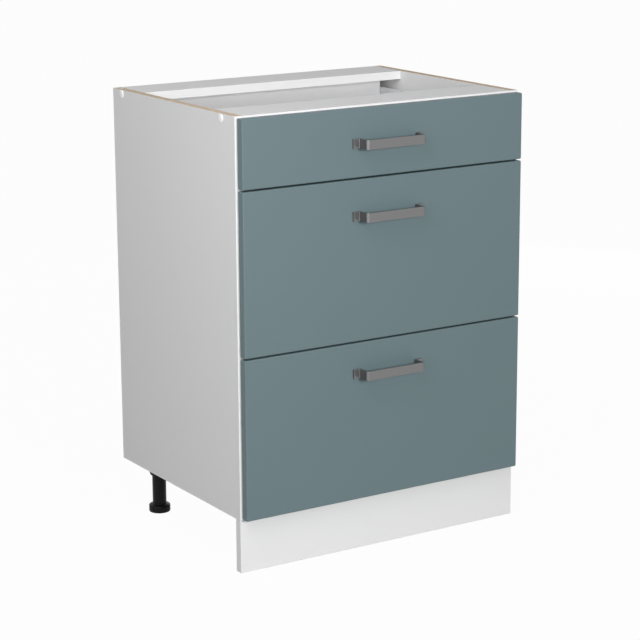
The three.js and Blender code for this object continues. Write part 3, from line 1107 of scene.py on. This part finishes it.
def model_drawer_side(i):
    low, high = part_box(f"drawer_side_{i}_left")
    height = (high.z - low.z) / MM
    half = sheet / 2

    def pressed(name, section, fold, folds):
        points = [(left_x(distance), low.y, low.z + z * MM) for distance, z in section]
        run = (0, high.y - low.y, 0)
        return ease_sheet(folded_sheet(name, points, run, sheet * MM, fold, folds))

    wall, rim = runner_space + half, runner_space - rim_reach + half
    top = height - half
    section = [(flange_reach, half), (wall, half), (wall, top), (rim, top), (rim, height - rim_lip)]
    glide_z = runner_rise + channel_height + glide_clearance + half
    track_x = wall - sheet + weld
    track = [(track_x, glide_z - half - 5), (track_x, glide_z), (runner_space - glide_reach, glide_z)]
    parts = [pressed("side_sheet", section, 1.6 * MM, 4), pressed("track", track, 1.2 * MM, 3)]
    for y in (low.y, high.y - sheet * MM):
        lug_high = (left_x(lug_end), y + sheet * MM, high.z - lug_drop * MM)
        lug = cube("lug", (left_x(lug_start), y, low.z + lug_rise * MM), lug_high)

        def outer_corner(edge):
            a, b = ends(lug, edge)
            return abs(a.y - b.y) > MM and a.x > left_x((lug_start + lug_end) / 2)

        bevel_where(lug, outer_corner, 4 * MM, segments=4)
        parts.append(ease_sheet(lug))
    roller = f"rear_roller_{i}_left"
    head = (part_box(roller)[0].x - left_x(0)) / MM - pin_side_gap
    parts.append(pin("rear_pin", wall, head, roller))
    return give_finish(joined("drawer_side", *parts), drawer_steel)


side_masters = {1: model_drawer_side(1), 2: model_drawer_side(2)}
print("drawer side", len(side_masters[2].data.polygons), "faces")

# %% Copy runners and drawer sides
for i in DRAWERS:
    for side, sign in SIDES.items():
        lift = (0, 0, drawer_base[i] - drawer_base[3])
        runner = copy_of(runner_master, f"runner_{i}_{side}", lift, mirror=sign > 0)
        register(runner, "runner_steel", f"cabinet_runner_{i}_{side}")
        model = min(i, 2)
        lift = (0, 0, drawer_base[i] - drawer_base[model])
        steel = copy_of(side_masters[model], f"drawer_steel_{i}_{side}", lift, mirror=sign > 0)
        register(steel, "drawer_steel", f"drawer_side_{i}_{side}")
for master in (runner_master, *side_masters.values()):
    bpy.data.objects.remove(master)
print("runners and drawer sides done")

# %% [markdown]
# ## Rollers
#
# A nylon roller is a ring with a hub. Its profile starts at the bore, goes out over the hub, down
# into a shallow dish and up to the rounded tread, and back on the other side.

# %% Model one roller and copy it
roller_low, roller_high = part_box("front_roller_1_left")
tread = (roller_high.z - roller_low.z) / 2 / MM
roller_profile = [(3.25, -3), (5.4, -3), (5.8, -2.2), (8, -2.2), (8.4, -3)]
roller_profile += [(tread - 0.6, -3), (tread, -2.4)]
roller_profile += [(radius, -x) for radius, x in reversed(roller_profile)] + [roller_profile[0]]
roller_middle = (roller_low + roller_high) / 2
roller_master = turned("roller", roller_profile, roller_middle, (1, 0, 0), steps=48)
give_finish(smooth_by_angle(roller_master), roller_nylon)
for i in DRAWERS:
    for side in SIDES:
        for row in ("front", "rear"):
            node = f"{row}_roller_{i}_{side}"
            shift = middle_of(node) - roller_middle
            roller = copy_of(roller_master, f"roller_{row}_{i}_{side}", shift)
            register(roller, "roller_plastic", node)
bpy.data.objects.remove(roller_master)
print("rollers done")

# %% [markdown]
# ## Screws
#
# Screw heads are seen on the runners, on the lugs of the drawer sides and behind the fronts, where
# the handles are held. A head is a spun dome with a cross recess. A cross in the finish alone would
# stay flat, so a real one is cut with two thin cubes.

# %% Model one screw head and place the screws


def screw_head(name, radius, height):
    """A pan head at the origin that faces +Z."""
    profile = [(0, 0), (radius, 0), (radius, height * 0.35)]
    profile += [(radius * 0.82, height * 0.8), (radius * 0.45, height), (0, height)]
    head = turned(name, profile, (0, 0, 0), (0, 0, 1), steps=24)
    reach, width = radius * 0.55 * MM, radius * 0.11 * MM
    low, top = height * 0.45 * MM, height * 2 * MM
    cut_with(head, cube("cross", (-reach, -width, low), (reach, width, top)))
    cut_with(head, cube("cross", (-width, -reach, low), (width, reach, top)))
    return give_finish(smooth_by_angle(head), screw_zinc)


def screws(name, master, places, facing, slot, body):
    """Copies of the head at the places, turned from +Z to the facing, as one piece."""
    turn = Vector((0, 0, 1)).rotation_difference(Vector(facing)).to_matrix().to_4x4()
    heads = [placed_copy(master, place, turn) for place in places]
    return register(joined(name, *heads), slot, body=body)


pan_head = screw_head("pan_head", 4.2, 1.6)
flat_head = screw_head("flat_head", 3.6, 0.35)
lug_screw = 21
screw_rise = 32 * MM
for i in DRAWERS:
    low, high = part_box(f"handle_{i}")
    front_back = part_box(f"drawer_front_{i}")[1].y
    spots = [(x, front_back, (low.z + high.z) / 2) for x in (low.x + 6 * MM, high.x - 6 * MM)]
    screws(f"handle_screws_{i}", pan_head, spots, (0, 1, 0), "handle_metal", f"drawer_{i}")
    for side, sign in SIDES.items():
        low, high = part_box(f"drawer_side_{i}_{side}")
        x = -sign * left_x(lug_screw)
        heights = (low.z + screw_rise, high.z - 20 * MM)
        spots = [(x, low.y + sheet * MM, z) for z in heights]
        screws(f"front_screws_{i}_{side}", pan_head, spots, (0, 1, 0), "drawer_steel", f"drawer_{i}")
        spots = [(x, high.y, z) for z in heights]
        screws(f"back_screws_{i}_{side}", pan_head, spots, (0, 1, 0), "drawer_steel", f"drawer_{i}")
        low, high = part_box(f"cabinet_runner_{i}_{side}")
        x = -sign * left_x(seat_gap + sheet)
        spots = [(x, low.y + y * MM, drawer_base[i] + screw_rise) for y in (52, 180, 340)]
        screws(f"runner_screws_{i}_{side}", flat_head, spots, (-sign, 0, 0), "runner_steel", "cabinet")
for master in (pan_head, flat_head):
    bpy.data.objects.remove(master)
print("screws done")

# %% [markdown]
# ## Floor, background and light
#
# The cabinet stands on a white ground that has no horizon in the picture. For the camera the floor
# glows white by itself, and only a small share of it takes light, which keeps a soft shadow under the
# object. For the rays that carry light it is a plain grey, because a white floor would light the sides
# from below more than the photograph shows. The world does the same: white where it is seen directly
# or in a polished face, and plain soft light for everything else.

# %% Floor and world


def sees_white(tree):
    """1 for the camera's rays and for those in mirrors and glass, 0 for the rays that carry light."""
    path = tree.node("LightPath").outputs
    seen = Number(path["Is Camera Ray"])
    for kind in ("Is Glossy Ray", "Is Transmission Ray"):
        seen = seen.worked("MAXIMUM", seen, path[kind])
    return seen


def floor_material():
    finish = Finish("studio_floor", specular_ior_level=0.1)
    grey = finish.mixed(finish.noise(3), (0.34, 0.34, 0.34), (0.36, 0.36, 0.36))
    finish.feed(base_color=grey, roughness=0.9)
    glow = finish.node("Emission", inputs={"Color": (1, 1, 1, 1), "Strength": 1.0})
    share = sees_white(finish) * 0.975
    blend = finish.node("MixShader", inputs={0: share, 1: finish.shader.outputs[0], 2: glow.outputs[0]})
    connect(finish.output.inputs["Surface"], blend.outputs[0])
    return finish.material


bpy.ops.object.select_all(action="DESELECT")
bpy.ops.mesh.primitive_plane_add(size=30, location=(0, 0, 0))
floor = bpy.context.object
floor.name = "studio_floor"
floor.data.materials.append(floor_material())

world = bpy.data.worlds.new("studio_world")
bpy.context.scene.world = world
sky = Tree(world)
soft = sky.node("Background", inputs={"Color": (1, 1, 1, 1), "Strength": 0.2})
white = sky.node("Background", inputs={"Color": (1, 1, 1, 1), "Strength": 1.0})
blend = sky.node("MixShader", inputs={0: sees_white(sky), 1: soft.outputs[0], 2: white.outputs[0]})
sky.node("OutputWorld", inputs={"Surface": blend.outputs[0]})

# %% [markdown]
# Four soft boxes light the cabinet. The key stands far in front, hardly higher than the worktop: it
# gives the fronts and the white front edges their brightness and reaches in over the front rail. A
# wide box to the left makes the side a step darker than the edges, brightest at its front, and it is
# also what the handles' bends and the rounded corners mirror. A third one, higher on the left, lights
# the rails and the inner right wall, so that the side fades towards the floor. A low one behind the
# right corner is not seen from the front; it keeps the right side and the back from going grey.

# %% Soft boxes


def area_light(name, place, aim, size, power):
    bpy.ops.object.select_all(action="DESELECT")
    turn = (Vector(aim) - Vector(place)).to_track_quat("-Z", "Y").to_euler()
    bpy.ops.object.light_add(type="AREA", location=place, rotation=turn)
    lamp = bpy.context.object
    lamp.name = name
    lamp.data.shape = "RECTANGLE"
    lamp.data.size, lamp.data.size_y = size
    lamp.data.energy = power


area_light("key", (-0.4, -4.2, 1.5), (-0.1, 0, 0.5), (0.9, 0.9), 110)
area_light("side_fill", (-2.0, -1.1, 1.1), (-0.3, -0.15, 0.5), (1.7, 1.4), 14.8)
area_light("top_fill", (-1.2, -0.9, 2.0), (0, 0, 0.7), (1.2, 1.2), 13.4)
area_light("rear_fill", (2.0, 1.7, 0.42), (0.1, 0.1, 0.42), (1.6, 0.7), 15)
print("lights done")
